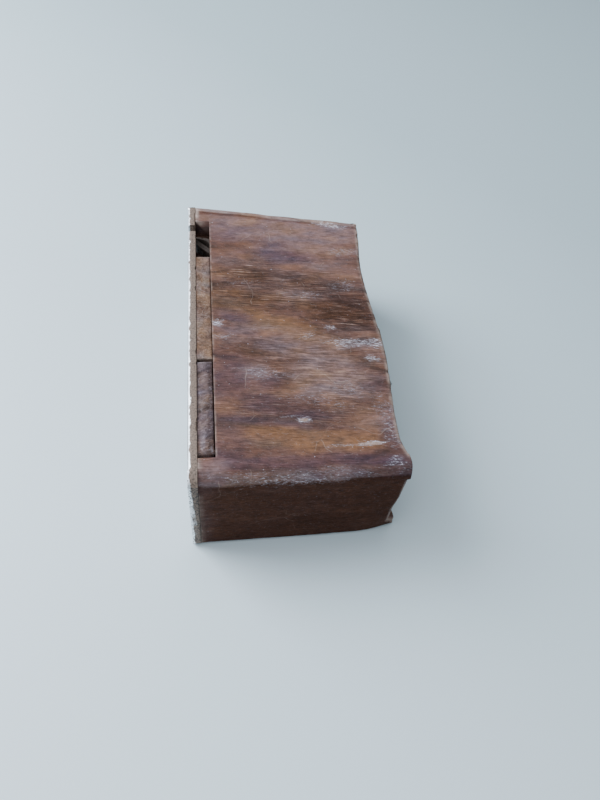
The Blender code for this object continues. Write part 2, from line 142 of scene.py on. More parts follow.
def makeFloor():
    # laminate table top: pale, faintly clouded, with a painted light falloff that makes it paler towards the
    # window side, and a soft sheen
    shape = bmesh.new()
    bmesh.ops.create_grid(shape, x_segments=1, y_segments=1, size=floorLook["side"])
    mesh = bpy.data.meshes.new("tableTop")
    shape.to_mesh(mesh)
    shape.free()
    table = bpy.data.objects.new("tableTop", mesh)
    bpy.context.scene.collection.objects.link(table)
    made, tree, shader = startMaterial("paleLaminate")
    where = add(tree, "TexCoord", take="Object")
    cloud = add(tree, "TexNoise", {
        "Vector": where, "Scale": 1000 / floorLook["mottleMm"], "Detail": 3.0,
    }, "Fac")
    # painted light: the colour runs from near to far across the table
    across = add(tree, "VectorMath", {0: where, 1: floorLook["fade"]}, "Value", operation="DOT_PRODUCT")
    level = add(tree, "Math", {0: across, 1: floorLook["halfWay"]}, 0, operation="ADD")
    level = add(tree, "Math", {0: cloud, 1: floorLook["shade"], 2: level}, 0, operation="MULTIPLY_ADD")
    cloudAndPaintedLight = lay(tree, toLinear(floorLook["near"]), toLinear(floorLook["far"]), level)
    tree.links.new(cloudAndPaintedLight, shader.inputs["Base Color"])
    shader.inputs["Roughness"].default_value = floorLook["roughness"]
    mesh.materials.append(made)


lights = {
    "window": {"from": (-0.68, 0.34, 0.60), "size": 0.6, "power": 15.5, "colour": "#e8f3ff"},
    "ceiling": {"from": (-0.42, -0.02, 1.25), "size": 1.4, "power": 14.0, "colour": "#ebf4ff"},
    "sky": {"colour": "#d9e7f0", "strength": 0.45},
}


def makeLights():
    for name in ("window", "ceiling"):
        value = lights[name]
        data = bpy.data.lights.new(name, "AREA")
        data.shape = "SQUARE"
        data.size = value["size"]
        data.energy = value["power"]
        data.color = toLinear(value["colour"])[:3]
        lamp = bpy.data.objects.new(name, data)
        lamp.location = value["from"]
        lamp.rotation_euler = (-Vector(value["from"])).to_track_quat("-Z", "Y").to_euler()
        bpy.context.scene.collection.objects.link(lamp)
    world = bpy.data.worlds.new("room")
    world.use_nodes = True
    background = world.node_tree.nodes["Background"]
    background.inputs["Color"].default_value = toLinear(lights["sky"]["colour"])
    background.inputs["Strength"].default_value = lights["sky"]["strength"]
    bpy.context.scene.world = world


makeCamera()
makeFloor()
makeLights()
print("camera, table and lights made")

# from each face into the block, along height, length and width
inward = {
    "sole": (1, 0, 0), "top": (-1, 0, 0), "heel": (0, 1, 0),
    "toe": (0, -1, 0), "lower": (0, 0, 1), "upper": (0, 0, -1),
}


def latticeBlock(cells):
    # a unit cube cut into a regular lattice on its faces
    shape = bmesh.new()
    bmesh.ops.create_cube(shape, size=1.0)
    for axis in range(3):
        along = []
        for edge in shape.edges:
            run = edge.verts[0].co - edge.verts[1].co
            if abs(run[axis]) > 0.5:
                along.append(edge)
        if cells[axis] > 1:
            bmesh.ops.subdivide_edges(shape, edges=along, cuts=cells[axis] - 1, use_grid_fill=True)
    return shape


def crowd(t, much):
    # moves mesh lines towards both ends
    return t - much * math.sin(2 * math.pi * t) / (2 * math.pi)


def settle(spot, gap, radii, plainRadius, inset):
    # rounds the edges near a point, given its distance to each face, and draws it in a little
    start = dict(gap)
    names = list(gap)
    for i, first in enumerate(names):
        for second in names[i + 1:]:
            radius = radii.get((first, second), radii.get((second, first), plainRadius))
            if gap[first] >= radius or gap[second] >= radius:
                continue
            radius *= 1 + 0.2 * noise.noise(spot * 0.11 + Vector((radius, 0, 0)))
            a, b = gap[first], gap[second]
            if a < radius and b < radius:
                away = math.hypot(radius - a, radius - b)
                gap[first] = radius - (radius - a) * radius / away
                gap[second] = radius - (radius - b) * radius / away
    moved = spot.copy()
    for side, way in inward.items():
        near = 0.0 if side == "sole" else max(0.0, 1 - gap[side] / 3.0)
        moved += Vector(way) * (gap[side] - start[side] + inset * near)
    return moved


def cadCopy(node):
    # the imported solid's mesh, merged, to cut with or to work over
    mesh = frame["nodes"][node].data.copy()
    shape = bmesh.new()
    shape.from_mesh(mesh)
    bmesh.ops.remove_doubles(shape, verts=shape.verts, dist=1e-6)
    shape.to_mesh(mesh)
    shape.free()
    copy = bpy.data.objects.new(node + "Copy", mesh)
    bpy.context.scene.collection.objects.link(copy)
    return copy


def applyModifiers(piece):
    bpy.context.view_layer.update()
    graph = bpy.context.evaluated_depsgraph_get()
    mesh = bpy.data.meshes.new_from_object(piece.evaluated_get(graph))
    piece.modifiers.clear()
    old = piece.data
    piece.data = mesh
    bpy.data.meshes.remove(old)


def within(piece, node):
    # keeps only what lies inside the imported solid, so its holes and pockets open up
    tool = cadCopy(node)
    step = piece.modifiers.new("within", "BOOLEAN")
    step.operation = "INTERSECT"
    step.solver = "MANIFOLD"
    step.object = tool
    applyModifiers(piece)
    bpy.data.objects.remove(tool)


def newPiece(name, shape):
    mesh = bpy.data.meshes.new(name)
    shape.to_mesh(mesh)
    shape.free()
    piece = bpy.data.objects.new(name, mesh)
    bpy.context.scene.collection.objects.link(piece)
    return piece


bodyOf = {node: body for body, nodes in frame["record"]["behaviour"]["bodies"].items() for node in nodes}


def finishPiece(piece, node, material, sharp=38):
    # smooth with crisp corners, in its material, riding and standing for its CAD node
    piece.data.materials.clear()
    piece.data.materials.append(material)
    piece.data.shade_smooth()
    piece.data.set_sharp_from_angle(angle=math.radians(sharp))
    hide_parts(node)
    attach(piece, bodyOf[node])
    print("made", piece.name, "with", len(piece.data.polygons), "faces")


def toPlane(point):
    # the inverse of place, for a mesh point
    return Vector(((point.x - soleX) / mm, (point.y - heelY) / mm, point.z / mm))


def paint(piece, values):
    # gives each point the attributes "tone" and "marks" from its place in mm and its normal
    mesh = piece.data
    tone = mesh.attributes.new("tone", "FLOAT_COLOR", "POINT")
    marks = mesh.attributes.new("marks", "FLOAT_COLOR", "POINT")
    for vert in mesh.vertices:
        first, second = values(toPlane(vert.co), vert.normal)
        tone.data[vert.index].color = first
        marks.data[vert.index].color = second


# the block, in mm: where its faces lie, and the palm side's height at points along it
stock = {
    "sole": 3.5,
    "toe": 154.4,
    "heel": -1.7,            # at the lower cheek, from where it slants to 0 at the upper one
    "width": 49.0,
    "grip": [(4.5, 82.0), (17.0, 79.4), (60.0, 81.6), (105.0, 79.5), (141.0, 82.2)],
    "toeLean": 11.2,
    "heelLean": 1.5,
    "ridge": {"high": 6.4, "low": 4.2, "out": 2.4, "fade": 75.0},
    "inset": 0.06,           # everything stays this far inside the CAD solid
    "cells": (108, 194, 62), # mesh cells along height, length and width
    "edgeCrowd": 0.4,
    "waveMm": 0.14,
    "footLift": 2.6,         # how far the lower right corner of the heel is worn away
    "channel": (10.4, 141.7, 10.0),      # its two ends, and the shoulder's height
}

# radius of each worn edge, in mm
stockEdges = {
    ("heel", "upper"): 7.6, ("toe", "upper"): 3.2, ("heel", "top"): 2.8, ("toe", "top"): 3.2,
    ("sole", "upper"): 0.25, ("sole", "heel"): 0.3, ("sole", "toe"): 0.8, ("sole", "lower"): 0.3,
    ("top", "upper"): 1.3, ("top", "lower"): 1.9, ("heel", "lower"): 2.4, ("toe", "lower"): 1.6,
}


def gripHeight(y):
    stations = stock["grip"]
    if y <= stations[0][0]:
        return stations[0][1]
    for (y0, s0), (y1, s1) in zip(stations, stations[1:]):
        if y <= y1:
            return s0 + (s1 - s0) * (1 - math.cos(math.pi * (y - y0) / (y1 - y0))) / 2
    return stations[-1][1]


def topHeight(y, z):
    # the palm side: hollowed half-way down the heel, with the unworn ridge low down
    ridge = stock["ridge"]
    fade = math.exp(-(max(y - 1.4, 0.0) / ridge["fade"]) ** 2)
    low = 1 - smoothStep(ridge["low"], ridge["high"], z)
    hollow = 1.3 * math.exp(-((z - 16.0) / 11.0) ** 2) * math.exp(-(y / 40.0) ** 2)
    return gripHeight(y) + ridge["out"] * fade * low - hollow * (1 - low)


def heelLine(s, z):
    worn = stock["footLift"] * smoothStep(62.0, 86.0, s) ** 2 * (1 - smoothStep(0.0, 14.0, z))
    slant = stock["heel"] * max(0.0, 1 - z / (stock["width"] - 7.5))
    return slant + stock["heelLean"] * s / 82.0 + worn


def toeLine(s):
    return stock["toe"] - stock["toeLean"] * s / 82.2


def stockGaps(s, y, z):
    return {
        "sole": s - stock["sole"], "top": topHeight(y, z) - s, "heel": y - heelLine(s, z),
        "toe": toeLine(s) - y, "lower": z, "upper": stock["width"] - z,
    }


def stockPoint(unit):
    # one point of the unit cube to its place on the worn block, in mm
    u, v, w = (crowd(c + 0.5, stock["edgeCrowd"]) for c in unit)
    z = w * stock["width"]
    y = v * stock["toe"]
    for _ in range(2):
        s = stock["sole"] + u * (topHeight(y, z) - stock["sole"])
        y = heelLine(s, z) + v * (toeLine(s) - heelLine(s, z))
    spot = Vector((s, y, z))
    wave = 0.5 + 0.8 * noise.fractal(Vector((s * 0.03, y * 0.06, z * 0.06)), 1.0, 2.0, 3)
    chips = smoothStep(0.25, 0.6, noise.fractal(spot * 0.35, 0.8, 2.0, 2))
    gap = stockGaps(s, y, z)
    closest = sorted(gap.values())
    atEdge = max(0.0, 1 - closest[1] / 1.6)
    inset = stock["inset"] + stock["waveMm"] * min(max(wave, 0.0), 1.2) + 0.45 * chips * atEdge
    return settle(spot, gap, stockEdges, 1.4, inset)


# patches on the upper cheek: (height, length), half sizes along and across, turn in degrees, strength
patches = {
    "ash": [
        ((50, 134), (46, 16), -4, 0.5), ((66, 106), (20, 14), -12, 0.25), ((56, 46), (20, 16), -24, 0.9),
        ((44, 62), (26, 9), -14, 0.6), ((30, 112), (22, 9), -4, 0.2), ((76, 64), (9, 14), 0, 0.5),
        ((27, 49), (9, 4), -4, 0.6), ((40, 2.0), (22, 2.6), 2, 0.5), ((8, 3), (7, 6), 0, 0.5),
        ((70, 28), (12, 8), 0, 0.3), ((46, 92), (16, 6), -8, 0.55),
    ],
    "amber": [
        ((38, 74), (32, 6), -24, 1.0), ((22, 90), (18, 7), -8, 0.6), ((54, 60), (20, 7), -20, 0.5),
        ((46, 18), (36, 8), -3, 0.8), ((66, 20), (16, 8), -6, 0.5), ((30, 34), (22, 4), -14, 0.4),
        ((58, 84), (14, 5), -8, 0.35), ((50, 40), (20, 6), -12, 0.4), ((60, 12), (14, 3), 0, 0.5),
        ((24, 104), (18, 3), -6, 0.4),
    ],
    "plum": [
        ((30, 33), (30, 4.5), -16, 0.9), ((17, 47), (11, 13), -10, 0.8), ((20, 79), (10, 4), -16, 0.8),
        ((20, 134), (13, 8), 12, 0.95), ((44, 121), (17, 11), -20, 0.95), ((15, 14), (9, 12), 0, 0.6),
        ((30, 66), (20, 4), -20, 0.5), ((77, 20), (6, 12), 0, 0.6), ((44, 132), (46, 18), -4, 0.5),
        ((68, 43), (13, 6), -10, 0.6), ((36, 24), (34, 2.2), -8, 0.6), ((42, 62), (12, 4), -12, 0.5),
        ((42, 7.0), (46, 4.5), 1, 0.7), ((74, 4), (10, 6), 0, 1.0), ((30, 44), (12, 6), 0, 0.5),
    ],
    "soot": [
        ((68, 84), (18, 9), -12, 0.5), ((62, 95), (16, 4), -4, 0.3), ((26, 104), (14, 5), -3, 0.3),
        ((30, 90), (16, 3), -5, 0.35), ((77, 77), (7, 16), 0, 0.5), ((8, 128), (4, 12), 0, 0.3),
        ((24, 64), (10, 5), 0, 0.25), ((60, 147), (20, 2), -8, 0.4), ((30, 150), (20, 1.5), -8, 0.4),
        ((66, 2), (16, 2), 0, 0.4),
    ],
    "chalk": [
        ((12.5, 76), (3.6, 3.0), 20, 0.85), ((66, 63), (10, 3), -4, 0.8), ((78, 63), (5, 3.6), 0, 0.85),
        ((75, 55), (5, 2.6), -8, 0.8), ((68, 140), (9, 2.6), -8, 0.9), ((60, 72), (3.4, 2), 0, 0.9),
        ((50, 68), (5, 1.8), 30, 0.6), ((62, 40), (10, 5), -14, 0.4), ((70, 97), (8, 5), 0, 0.4),
        ((30, 48), (12, 4), -4, 0.45), ((50, 92), (14, 3), -4, 0.4), ((76, 24), (6, 14), 10, 0.45),
        ((14, 68), (6, 1.4), 4, 0.5), ((40, 2), (22, 2.2), 3, 0.6), ((76, 6), (4, 3), 0, 0.7),
        ((20, 3), (14, 2), 3, 0.45), ((43.5, 25), (3.4, 1.5), 4, 1.0), ((39, 27), (4.5, 0.7), 2, 0.7),
        ((66.5, 13.8), (6.0, 1.0), 2, 1.0), ((57, 13.4), (7, 0.7), 2, 0.6), ((26, 100), (8, 2), 0, 0.4),
        ((22, 151), (16, 1.8), -6, 0.9), ((50, 148), (20, 1.5), -7, 0.6), ((72, 120), (8, 3), 0, 0.4),
        ((52, 34), (14, 6), -14, 0.35),
    ],
    "fibre": [
        ((44, 94), (40, 16), -4, 0.9), ((70, 78), (16, 15), -6, 1.0), ((50, 54), (36, 16), -6, 0.6),
        ((26, 106), (20, 9), -3, 0.9), ((40, 30), (38, 8), -6, 0.45), ((64, 36), (16, 14), -6, 0.6),
    ],
}


def patchValue(kind, s, y, drift):
    total = 0.0
    for (atS, atY), (along, across), turn, much in patches[kind]:
        ds, dy = s - atS, y - atY
        if abs(ds) > 1.6 * along + across or abs(dy) > 1.6 * across + 0.5 * along:
            continue
        c, k = math.cos(math.radians(turn)), math.sin(math.radians(turn))
        away = math.hypot((ds * c + dy * k) / along, (dy * c - ds * k) / across)
        total = max(total, much * (1 - smoothStep(0.35, 1.3, away + drift)))
    return total


# where each kind of wear starts and ends: a distance in mm, or the tilt of the surface
wear = {
    "inside": (0.7, 1.1), "upper": (5.0, 11.0), "upperTilt": (0.0, 0.35), "edge": (0.3, 2.4),
    "shoulder": (0.1, 0.8), "heelTilt": (0.87, 0.955), "corner": (5.0, 12.0), "rim": (3.6, 4.8),
    "lipTilt": (0.3, 0.75), "lip": (9.0, 13.0), "crestTilt": (0.05, 0.3), "nose": (50.0, 74.0),
    "rimChalk": (30.0, 10.0),
    "under": (5.2, 0.7),     # the dark line under the rim: its place and its width
}


def stockValues(spot, normal):
    # stains, wear and cut surfaces of the stock, with painted shade on the heel face and in the recesses, and
    # painted highlights and reflection on the toe rim, the channel shoulder and the heel lip
    s, y, z = spot
    chanLow, chanHigh, chanTop = stock["channel"]
    gap = stockGaps(s, y, z)
    closest = sorted(gap.values())
    depth = closest[0]
    for (first, second), radius in stockEdges.items():
        a, b = radius - gap[first], radius - gap[second]
        if a > 0 and b > 0:
            depth = min(depth, radius - math.hypot(a, b))
    # faces deep inside the throat, pocket and channel: bare cut wood, painted darker as shade
    inside = smoothStep(*wear["inside"], depth)
    drift = 0.5 * noise.fractal(Vector((s * 0.05, y * 0.22, z * 0.22)), 1.0, 2.0, 3)
    up = (1 - smoothStep(*wear["upper"], gap["upper"])) * smoothStep(*wear["upperTilt"], normal.z)
    found = {kind: patchValue(kind, s, y, drift) * up for kind in patches}
    edge = (1 - smoothStep(*wear["edge"], closest[1])) * (1 - inside)
    # a ragged painted highlight along the top of the channel's shoulder
    if chanLow < y < chanHigh and z > 47.5 and s > chanTop - 0.1:
        ragged = 0.35 + 0.6 * noise.noise(Vector((y * 0.35, 2.0, 0.0)))
        edge = max(edge, ragged * (1 - smoothStep(*wear["shoulder"], s - chanTop)))

    # the heel face, darkened all over as painted shade, and the sides and ends, which are only mottled
    heel = smoothStep(*wear["heelTilt"], -normal.y + 0.03 * drift) * (1 - inside)
    sides = (1 - up) * (1 - inside) * (1 - heel)
    corner = heel * (1 - smoothStep(*wear["corner"], s + 3.0 * drift))
    # soot patches on the cheek, and painted shade over the whole heel face
    soot = max(found["soot"], heel * (1.0 - 0.2 * corner - 0.15 * smoothStep(0.0, 0.4, drift)))
    ash = max(found["ash"], 0.35 * sides * smoothStep(-0.1, 0.3, drift))
    amber = max(found["amber"], 0.5 * sides * smoothStep(0.0, -0.25, drift) if drift < 0 else 0.0)
    plum = max(found["plum"], 0.4 * corner)
    fibre = max(found["fibre"], 0.6 * sides)

    # a painted highlight along the rounded edge over the toe, with pale specks, and a dark line under it
    line, lineWide = wear["under"]
    rim = 0.6 * (1 - smoothStep(*wear["rim"], gap["toe"] + drift)) * up
    under = 0.6 * math.exp(-((gap["toe"] - line + 1.5 * drift) / lineWide) ** 2) * up

    # the rounded lip over the heel, purplish, with a pale blue-grey painted reflection that grows as it turns
    # from the light, and almost black at its palm end
    lip = smoothStep(*wear["lipTilt"], -normal.y + 0.25 * drift) * (1 - heel) * (1 - inside)
    lip *= 1 - smoothStep(*wear["lip"], gap["upper"])
    if gap["heel"] < wear["lip"][0] and gap["upper"] < wear["lip"][0]:
        edge *= 1 - smoothStep(*wear["crestTilt"], -normal.y)
    nose = lip * smoothStep(*wear["nose"], s + 8.0 * drift)
    # pale grey on the lip as painted reflection, and over the toe rim as painted highlight
    ash = max(ash * (1 - 0.5 * lip), 0.35 * lip, 0.9 * rim)
    plum = max(plum * (1 - 0.3 * lip), 0.9 * nose, (0.75 + 0.6 * drift) * lip)
    soot = max(max(soot, under) * (1 - lip), 0.5 * nose)
    edge = max(edge, 0.1 * lip * (1 - nose))
    lipChalk = 0.5 * lip * smoothStep(-0.25, 0.2, drift)
    chalk = max(found["chalk"], lipChalk, 0.7 * rim * smoothStep(*wear["rimChalk"], s))
    return (ash, amber, plum, soot), (chalk, fibre, max(edge * (1 - 0.75 * heel), rim), inside)


woods = {
    # old rosewood, planed long ago and handled since
    "stock": {
        "name": "oldRosewood", "dark": "#482f25", "mid": "#6c493c", "warm": "#7e5a4b",
        "amber": "#876040", "ash": "#a6867e", "plum": "#4c3544", "soot": "#44291e", "filler": "#a3826f",
        "chalk": "#d8d3de", "edge": "#b59f92", "cut": "#2c1a14", "streak": "#271812",
        "sizesMm": {"grain": (8.5, 0.46), "pore": (3.4, 0.36), "figure": (26.0, 7.0), "fleck": (1.5, 0.45)},
        "turn": (0.0, 0.0, 0.09), "bump": 0.8, "dull": 0.5, "dust": 0.7,
    },
    # the front slip, dry and pale, its fibres standing on end
    "front": {
        "name": "frontSlipWood", "dark": "#4f392e", "mid": "#7e6051", "warm": "#97796a",
        "amber": "#8f6f55", "ash": "#8d7a72", "plum": "#57454a", "soot": "#3a2a22", "filler": "#b3a196",
        "chalk": "#cfc6c2", "edge": "#b3a196", "cut": "#3c2a22", "streak": "#3a2920",
        "sizesMm": {"grain": (1.4, 0.9), "pore": (0.9, 0.6), "figure": (8.0, 7.0), "fleck": (1.2, 0.8)},
        "turn": (0.0, 0.0, 0.3), "bump": 0.9, "dull": 0.62, "dust": 0.3,
    },
    # the rear slip, greyed by grime
    "rear": {
        "name": "rearSlipWood", "dark": "#4c3b3a", "mid": "#745f5e", "warm": "#8c7676",
        "amber": "#83644f", "ash": "#877578", "plum": "#51444f", "soot": "#2e221f", "filler": "#a3989b",
        "chalk": "#c9c4cc", "edge": "#a3989b", "cut": "#33282a", "streak": "#33282a",
        "sizesMm": {"grain": (1.6, 0.8), "pore": (1.0, 0.6), "figure": (9.0, 6.0), "fleck": (1.2, 0.8)},
        "turn": (0.0, 0.0, -0.4), "bump": 0.9, "dull": 0.62, "dust": 0.3,
    },
    # the wedge, oiled beech with its fine short flecks along the bed
    "wedge": {
        "name": "oiledBeech", "dark": "#5e3d26", "mid": "#7e5736", "warm": "#946a44",
        "amber": "#a5784c", "ash": "#86725f", "plum": "#4a3327", "soot": "#2c1d14", "filler": "#a88a66",
        "chalk": "#c8b8a0", "edge": "#a88a66", "cut": "#3c281a", "streak": "#4a2f1c",
        "sizesMm": {"grain": (22.0, 1.1), "pore": (2.4, 0.35), "figure": (40.0, 9.0), "fleck": (1.8, 0.4)},
        "turn": (0.0, 0.0, 0.7854), "bump": 0.4, "dull": 0.42, "dust": 0.3,
    },
    # the strike button, box wood hammered on its end grain
    "button": {
        "name": "boxEndGrain", "dark": "#6a4f31", "mid": "#8d6d46", "warm": "#a8875a",
        "amber": "#b08a58", "ash": "#8f8270", "plum": "#57432f", "soot": "#382818", "filler": "#b89e74",
        "chalk": "#cbbd9f", "edge": "#b89e74", "cut": "#3c281a", "streak": "#4d3622",
        "sizesMm": {"grain": (1.0, 0.8), "pore": (0.6, 0.5), "figure": (5.0, 4.0), "fleck": (0.8, 0.7)},
        "turn": (0.0, 0.0, 0.0), "bump": 0.5, "dull": 0.5, "dust": 0.3,
    },
}

# the levels of a noise or of a stain between which each effect of the wood comes in (1 and 2), and
# what it then goes from and to, where that is not from none to all (3 and 4)
woodLevels = {
    "streaks": {1: 0.38, 2: 0.56},
    "pores": {1: 0.36, 2: 0.46},
    "bloom": {1: 0.3, 2: 0.65, 3: 0.55, 4: 1.0},
    "ridges": {1: 0.58, 2: 0.7},
    "mottle": {1: 0.3, 2: 0.7, 3: 0.7, 4: 1.3},
    "specks": {1: 0.6, 2: 0.95, 3: 0.0, 4: 0.6},
    "flakes": {1: 0.74, 2: 0.79, 3: 0.0, 4: 0.9},
    "filler": {1: 0.86, 2: 0.96, 3: 0.0, 4: 0.75},
    "dust": {1: 0.775, 2: 0.81},
    "hair": {1: 0.009, 2: 0.003},
    "hairHere": {1: 0.57, 2: 0.64},
    "hairMuch": {1: 0.2, 2: 0.8, 3: 0.3, 4: 0.1},
    "rubbed": {1: 0.4, 2: 0.6, 3: 0.25, 4: 0.9},
    "gloss": {1: 0.0, 2: 0.9, 3: 0.3, 4: 0.03},
}

woodShares = {
    "amber": 0.8, "plum": 0.75, "soot": 0.88, "inside": 0.75, "pores": 0.34, "scuff": 0.24,
    "tear": 0.75, "plain": 0.12, "ridge": 0.7, "bloomDull": 0.2, "streakDull": 0.2,
    "relief": 0.35, "poreRelief": 0.4,
}

# where it has been handled it leans to olive, elsewhere to a cold mauve
woodLean = [(0.36, "#fff5de"), (0.5, "#fbf5f2"), (0.64, "#e6eeff")]

# sizes in mm along and across the grain, shared by all the woods
woodSizes = {
    "warp": (30.0, 12.0), "cloud": (6.0, 4.0), "drift": (15.0, 8.0), "mottle": (3.2, 1.9), "dust": (1.3, 0.7),
}

# hair scratches in mm: how far apart, and how wide and how far they swing
hairs = {"apart": 19.0, "bend": 9.0, "swing": 6.0}


def makeWood(look):
    # dark fibres and pores along the grain, grey bloom and stains over brown, pale scuffs,
    # hair scratches, and a dull, uneven polish
    # on the stock, the stains and arrises also carry painted shade, painted highlights and painted reflection
    made, tree, shader = startMaterial(look["name"])
    straight = add(tree, "TexCoord", take="Object")
    where = add(tree, "Mapping", {"Vector": straight, "Rotation": look["turn"]}, "Vector")
    stain = {}
    kinds = {"tone": ("ash", "amber", "plum", "soot"), "marks": ("chalk", "fibre", "edge", "inside")}
    for attribute, names in kinds.items():
        found = add(tree, "Attribute", attribute_name=attribute)
        parts = add(tree, "SeparateColor", {"Color": found.outputs["Color"]})
        stain.update(zip(names, list(parts.outputs)[:3] + [found.outputs["Alpha"]]))

    at = {}
    for name, (along, across) in {**woodSizes, **look["sizesMm"]}.items():
        scale = (1000 / along, 1000 / across, 1000 / across)
        at[name] = add(tree, "Mapping", {"Vector": where, "Scale": scale}, "Vector")

    def over(colour, name, factor, much=1.0):
        return lay(tree, colour, toLinear(look[name]), factor, much)

    # grain that wanders a little
    warp = add(tree, "TexNoise", {"Vector": at["warp"], "Scale": 1.0, "Detail": 2.0})
    shift = add(tree, "VectorMath", {0: warp.outputs["Color"], 1: (0.5, 0.5, 0.5)}, 0, operation="SUBTRACT")
    bent = add(tree, "VectorMath", {
        0: shift, 1: (0.0, 3.2, 3.2), 2: at["grain"],
    }, 0, operation="MULTIPLY_ADD")
    grain = add(tree, "TexNoise", {"Vector": bent, "Scale": 1.0, "Detail": 6.0, "Roughness": 0.7}, "Fac")
    pores = add(tree, "TexNoise", {"Vector": at["pore"], "Scale": 1.0, "Detail": 3.0}, "Fac")
    figure = add(tree, "TexNoise", {
        "Vector": at["figure"], "Scale": 1.0, "Detail": 4.0, "Distortion": 0.8,
    }, "Fac")
    streaks = add(tree, "MapRange", {0: grain, **woodLevels["streaks"]}, 0)
    poreLines = add(tree, "MapRange", {0: pores, **woodLevels["pores"]}, 0)
    colour = add(tree, "ValToRGB", {"Fac": figure}, "Color", stops=[
        (0.32, look["dark"]), (0.47, look["mid"]), (0.62, look["warm"]),
    ])

    # stains, and the lean of the colour
    for name in ("amber", "plum"):
        colour = over(colour, name, stain[name], woodShares[name])
    cloud = add(tree, "TexNoise", {"Vector": at["cloud"], "Scale": 1.0, "Detail": 5.0}, "Fac")
    much = add(tree, "MapRange", {0: cloud, **woodLevels["bloom"]}, 0)
    bloom = add(tree, "Math", {0: stain["ash"], 1: much}, 0, operation="MULTIPLY")
    # on the stock this grey also carries the painted reflection on the heel lip and the painted highlight on
    # the toe rim
    colour = over(colour, "ash", bloom)
    drift = add(tree, "TexNoise", {"Vector": at["drift"], "Scale": 1.0, "Detail": 4.0}, "Fac")
    lean = add(tree, "ValToRGB", {"Fac": drift}, "Color", stops=woodLean)
    colour = add(tree, "Mix", {"Factor": 1.0, "A": colour, "B": lean}, "Result",
                 data_type="RGBA", blend_type="MULTIPLY")
    # soot, and on the stock's heel face painted shade
    colour = over(colour, "soot", stain["soot"], woodShares["soot"])

    # dark fibres, deeper where the wood is torn, and light ridges between them
    valleys = add(tree, "Math", {0: 1.0, 1: streaks}, 0, operation="SUBTRACT")
    depth = add(tree, "Math", {
        0: stain["fibre"], 1: woodShares["tear"], 2: woodShares["plain"],
    }, 0, operation="MULTIPLY_ADD")
    colour = over(colour, "streak", valleys, depth)
    raised = add(tree, "Math", {0: stain["fibre"], 1: woodShares["ridge"]}, 0, operation="MULTIPLY")
    here = add(tree, "MapRange", {0: grain, **woodLevels["ridges"]}, 0)
    colour = over(colour, "edge", here, raised)
    mottle = add(tree, "TexNoise", {
        "Vector": at["mottle"], "Scale": 1.0, "Detail": 6.0, "Roughness": 0.7,
    }, "Fac")
    shade = add(tree, "MapRange", {0: mottle, **woodLevels["mottle"]}, 0)
    colour = add(tree, "Mix", {"Factor": 1.0, "A": colour, "B": shade}, "Result",
                 data_type="RGBA", blend_type="MULTIPLY")
    openPores = add(tree, "Math", {0: 1.0, 1: poreLines}, 0, operation="SUBTRACT")
    colour = over(colour, "streak", openPores, woodShares["pores"])

    # pale scuffs that catch on the ridges, filled dents, and dust except under soot and painted shade
    fleck = add(tree, "TexNoise", {
        "Vector": at["fleck"], "Scale": 1.0, "Detail": 4.0, "Roughness": 0.75,
    }, "Fac")
    level = add(tree, "Math", {
        0: stain["chalk"], 1: woodShares["scuff"], 2: fleck,
    }, 0, operation="MULTIPLY_ADD")
    here = add(tree, "MapRange", {0: level, **woodLevels["specks"]}, 0)
    colour = over(colour, "chalk", here)
    here = add(tree, "MapRange", {0: level, **woodLevels["flakes"]}, 0)
    colour = over(colour, "chalk", here)
    here = add(tree, "MapRange", {0: stain["chalk"], **woodLevels["filler"]}, 0)
    colour = over(colour, "filler", here)
    dust = add(tree, "TexNoise", {"Vector": at["dust"], "Scale": 1.0, "Detail": 1.0}, "Fac")
    settled = add(tree, "MapRange", {0: stain["soot"], 1: 0.2, 2: 0.8, 3: look["dust"], 4: 0.0}, 0)
    here = add(tree, "MapRange", {0: dust, **woodLevels["dust"]}, 0)
    colour = over(colour, "chalk", here, settled)

    # hair scratches
    bend = add(tree, "TexNoise", {
        "Vector": straight, "Scale": 1000 / hairs["bend"], "Detail": 2.0,
    }, "Color")
    curved = add(tree, "VectorMath", {
        0: bend, 1: (hairs["swing"] * mm,) * 3, 2: straight,
    }, 0, operation="MULTIPLY_ADD")
    cells = add(tree, "TexVoronoi", {"Vector": curved, "Scale": 1000 / hairs["apart"]}, "Distance",
                feature="DISTANCE_TO_EDGE")
    some = add(tree, "MapRange", {0: warp.outputs["Fac"], **woodLevels["hairHere"]}, 0)
    line = add(tree, "MapRange", {0: cells, **woodLevels["hair"]}, 0)
    hair = add(tree, "Math", {0: line, 1: some}, 0, operation="MULTIPLY")
    much = add(tree, "MapRange", {0: stain["soot"], **woodLevels["hairMuch"]}, 0)
    colour = over(colour, "edge", hair, much)

    # worn arrises, with the stock's painted highlights on the toe rim and the channel shoulder, and the bare
    # cut faces inside, darkened further as painted shade
    much = add(tree, "MapRange", {0: cloud, **woodLevels["rubbed"]}, 0)
    colour = over(colour, "edge", stain["edge"], much)
    colour = over(colour, "cut", stain["inside"], woodShares["inside"])
    tree.links.new(colour, shader.inputs["Base Color"])

